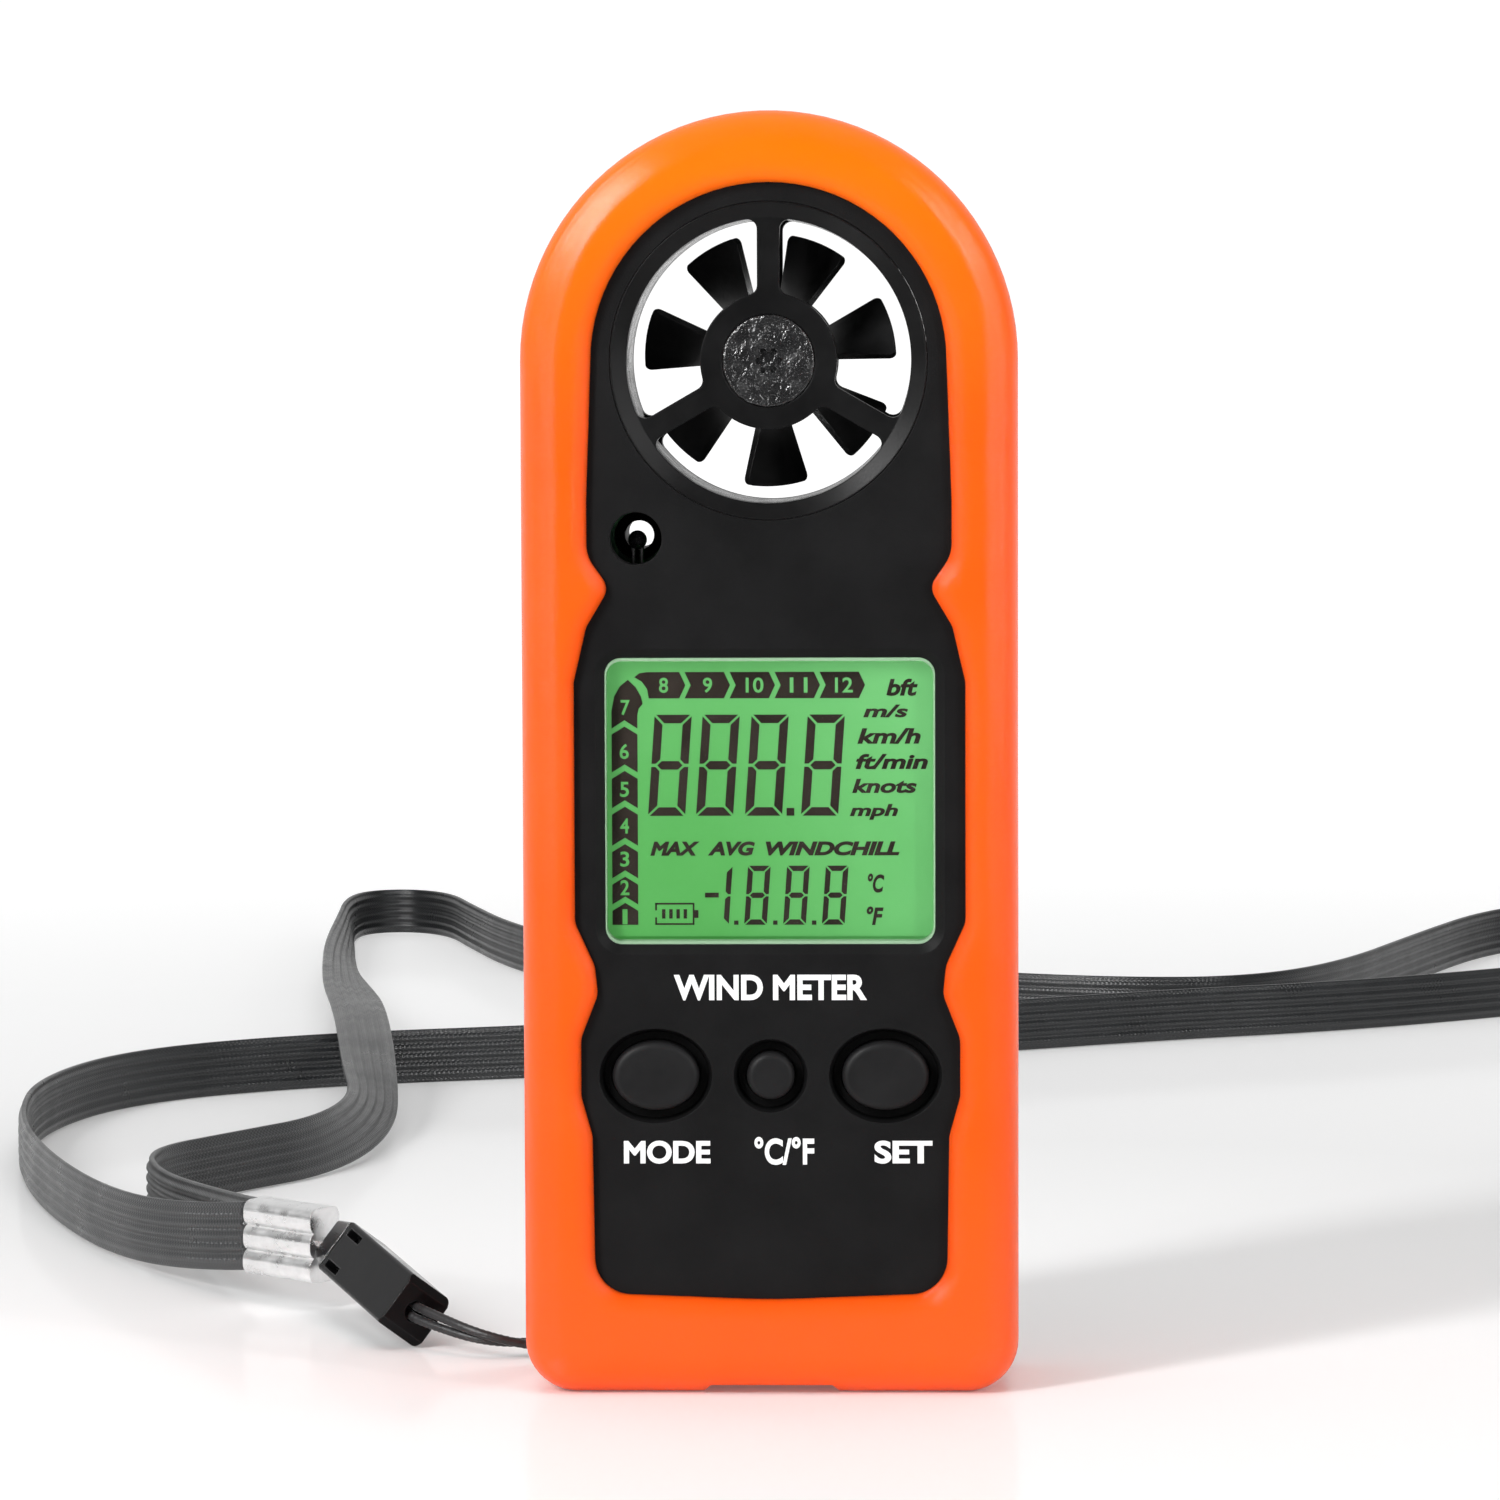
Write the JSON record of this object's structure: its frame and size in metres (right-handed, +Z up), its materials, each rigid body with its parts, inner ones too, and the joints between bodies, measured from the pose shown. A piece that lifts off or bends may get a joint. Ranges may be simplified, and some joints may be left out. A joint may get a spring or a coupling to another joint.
{
  "type": "handheld weather meter",
  "caption": "Pocket vane weather meter with a rubber holster, segment display, oval keys, coin-cell door and a neck lanyard on a quick-release clip.",
  "frame": {"origin": "middle of the base, on the surface that the meter stands on", "axes": "+X to the right of the face, +Y from the face to the back, +Z up towards the vane"},
  "size_m": [0.2053, 0.3771, 0.105],
  "materials": {
    "holster_rubber": "satin",
    "case_plastic": "fine texture",
    "guard_plastic": "satin",
    "gloss_black": "polished",
    "vane_plastic": "satin",
    "steel": "polished",
    "screw_steel": "blackened",
    "magnet": "sintered",
    "jewel": "polished",
    "chip_black": "moulded",
    "bead_epoxy": "dipped",
    "tinned_wire": "tinned",
    "cable_jacket": "matte",
    "window_clear": "polished",
    "lcd_green": "backlit",
    "white_plastic": "satin",
    "led_amber": "clear",
    "zebra_rubber": "matte",
    "board_green": "solder mask",
    "part_ceramic": "matte",
    "key_rubber": "matte",
    "cell_steel": "nickel plated",
    "contact_nickel": "nickel plated",
    "seal_rubber": "matte",
    "string_nylon": "braided",
    "strap_nylon": "woven",
    "clip_black": "polished"
  },
  "bodies": {
    "meter": {"rubber_sleeve": "holster_rubber", "front_case": "case_plastic", "rear_case": "case_plastic", "case_screws": "screw_steel", "front_guard": "guard_plastic", "rear_guard": "guard_plastic", "front_guard_cap": "gloss_black", "rear_guard_cap": "gloss_black", "duct_ring": "gloss_black", "front_bearing": "jewel", "rear_bearing": "jewel", "hall_sensor": "chip_black", "hall_cable": "cable_jacket", "thermistor_bead": "bead_epoxy", "thermistor_leads": "tinned_wire", "lcd_window": "window_clear", "lcd_glass": "lcd_green", "lcd_holder": "white_plastic", "lcd_backlight": "white_plastic", "backlight_leds": "led_amber", "zebra_strip": "zebra_rubber", "main_board": "board_green", "board_screws": "screw_steel", "controller_chip": "chip_black", "crystal_can": "steel", "board_parts": "part_ceramic", "keypad_mat": "key_rubber", "switch_bodies": "chip_black", "coin_cell": "cell_steel", "negative_contact": "contact_nickel", "positive_contact": "contact_nickel", "door_seal": "seal_rubber", "lanyard_pin": "steel", "lanyard_string": "string_nylon", "clip_socket": "clip_black"},
    "vane": {"impeller": "vane_plastic", "impeller_shaft": "steel", "impeller_magnet": "magnet"},
    "mode_button": {"mode_key": "key_rubber", "mode_plunger": "chip_black"},
    "unit_button": {"unit_key": "key_rubber", "unit_plunger": "chip_black"},
    "set_button": {"set_key": "key_rubber", "set_plunger": "chip_black"},
    "door": {"battery_door": "case_plastic"},
    "lanyard": {"clip_plug": "clip_black", "strap_crimp": "steel", "neck_strap": "strap_nylon"}
  },
  "joints": [
    {"name": "vane_spin", "type": "hinge", "parent": "meter", "child": "vane", "pos_m": [0, 0, 0.0847], "axis": [0, 1, 0], "continuous": true},
    {"name": "mode_press", "type": "slide", "parent": "meter", "child": "mode_button", "axis": [0, 1, 0], "range_m": [0, 0.0005], "stiffness_N_per_m": 1500},
    {"name": "unit_press", "type": "slide", "parent": "meter", "child": "unit_button", "axis": [0, 1, 0], "range_m": [0, 0.0005], "stiffness_N_per_m": 1500},
    {"name": "set_press", "type": "slide", "parent": "meter", "child": "set_button", "axis": [0, 1, 0], "range_m": [0, 0.0005], "stiffness_N_per_m": 1500},
    {"name": "door_turn", "type": "hinge", "parent": "meter", "child": "door", "pos_m": [0, 0.0073, 0.03], "axis": [0, 1, 0], "range_deg": [0, 45]},
    {"name": "clip_release", "type": "slide", "parent": "meter", "child": "lanyard", "axis": [-0.3722, 0.9212, 0.1132], "range_m": [0, 0.009]}
  ]
}
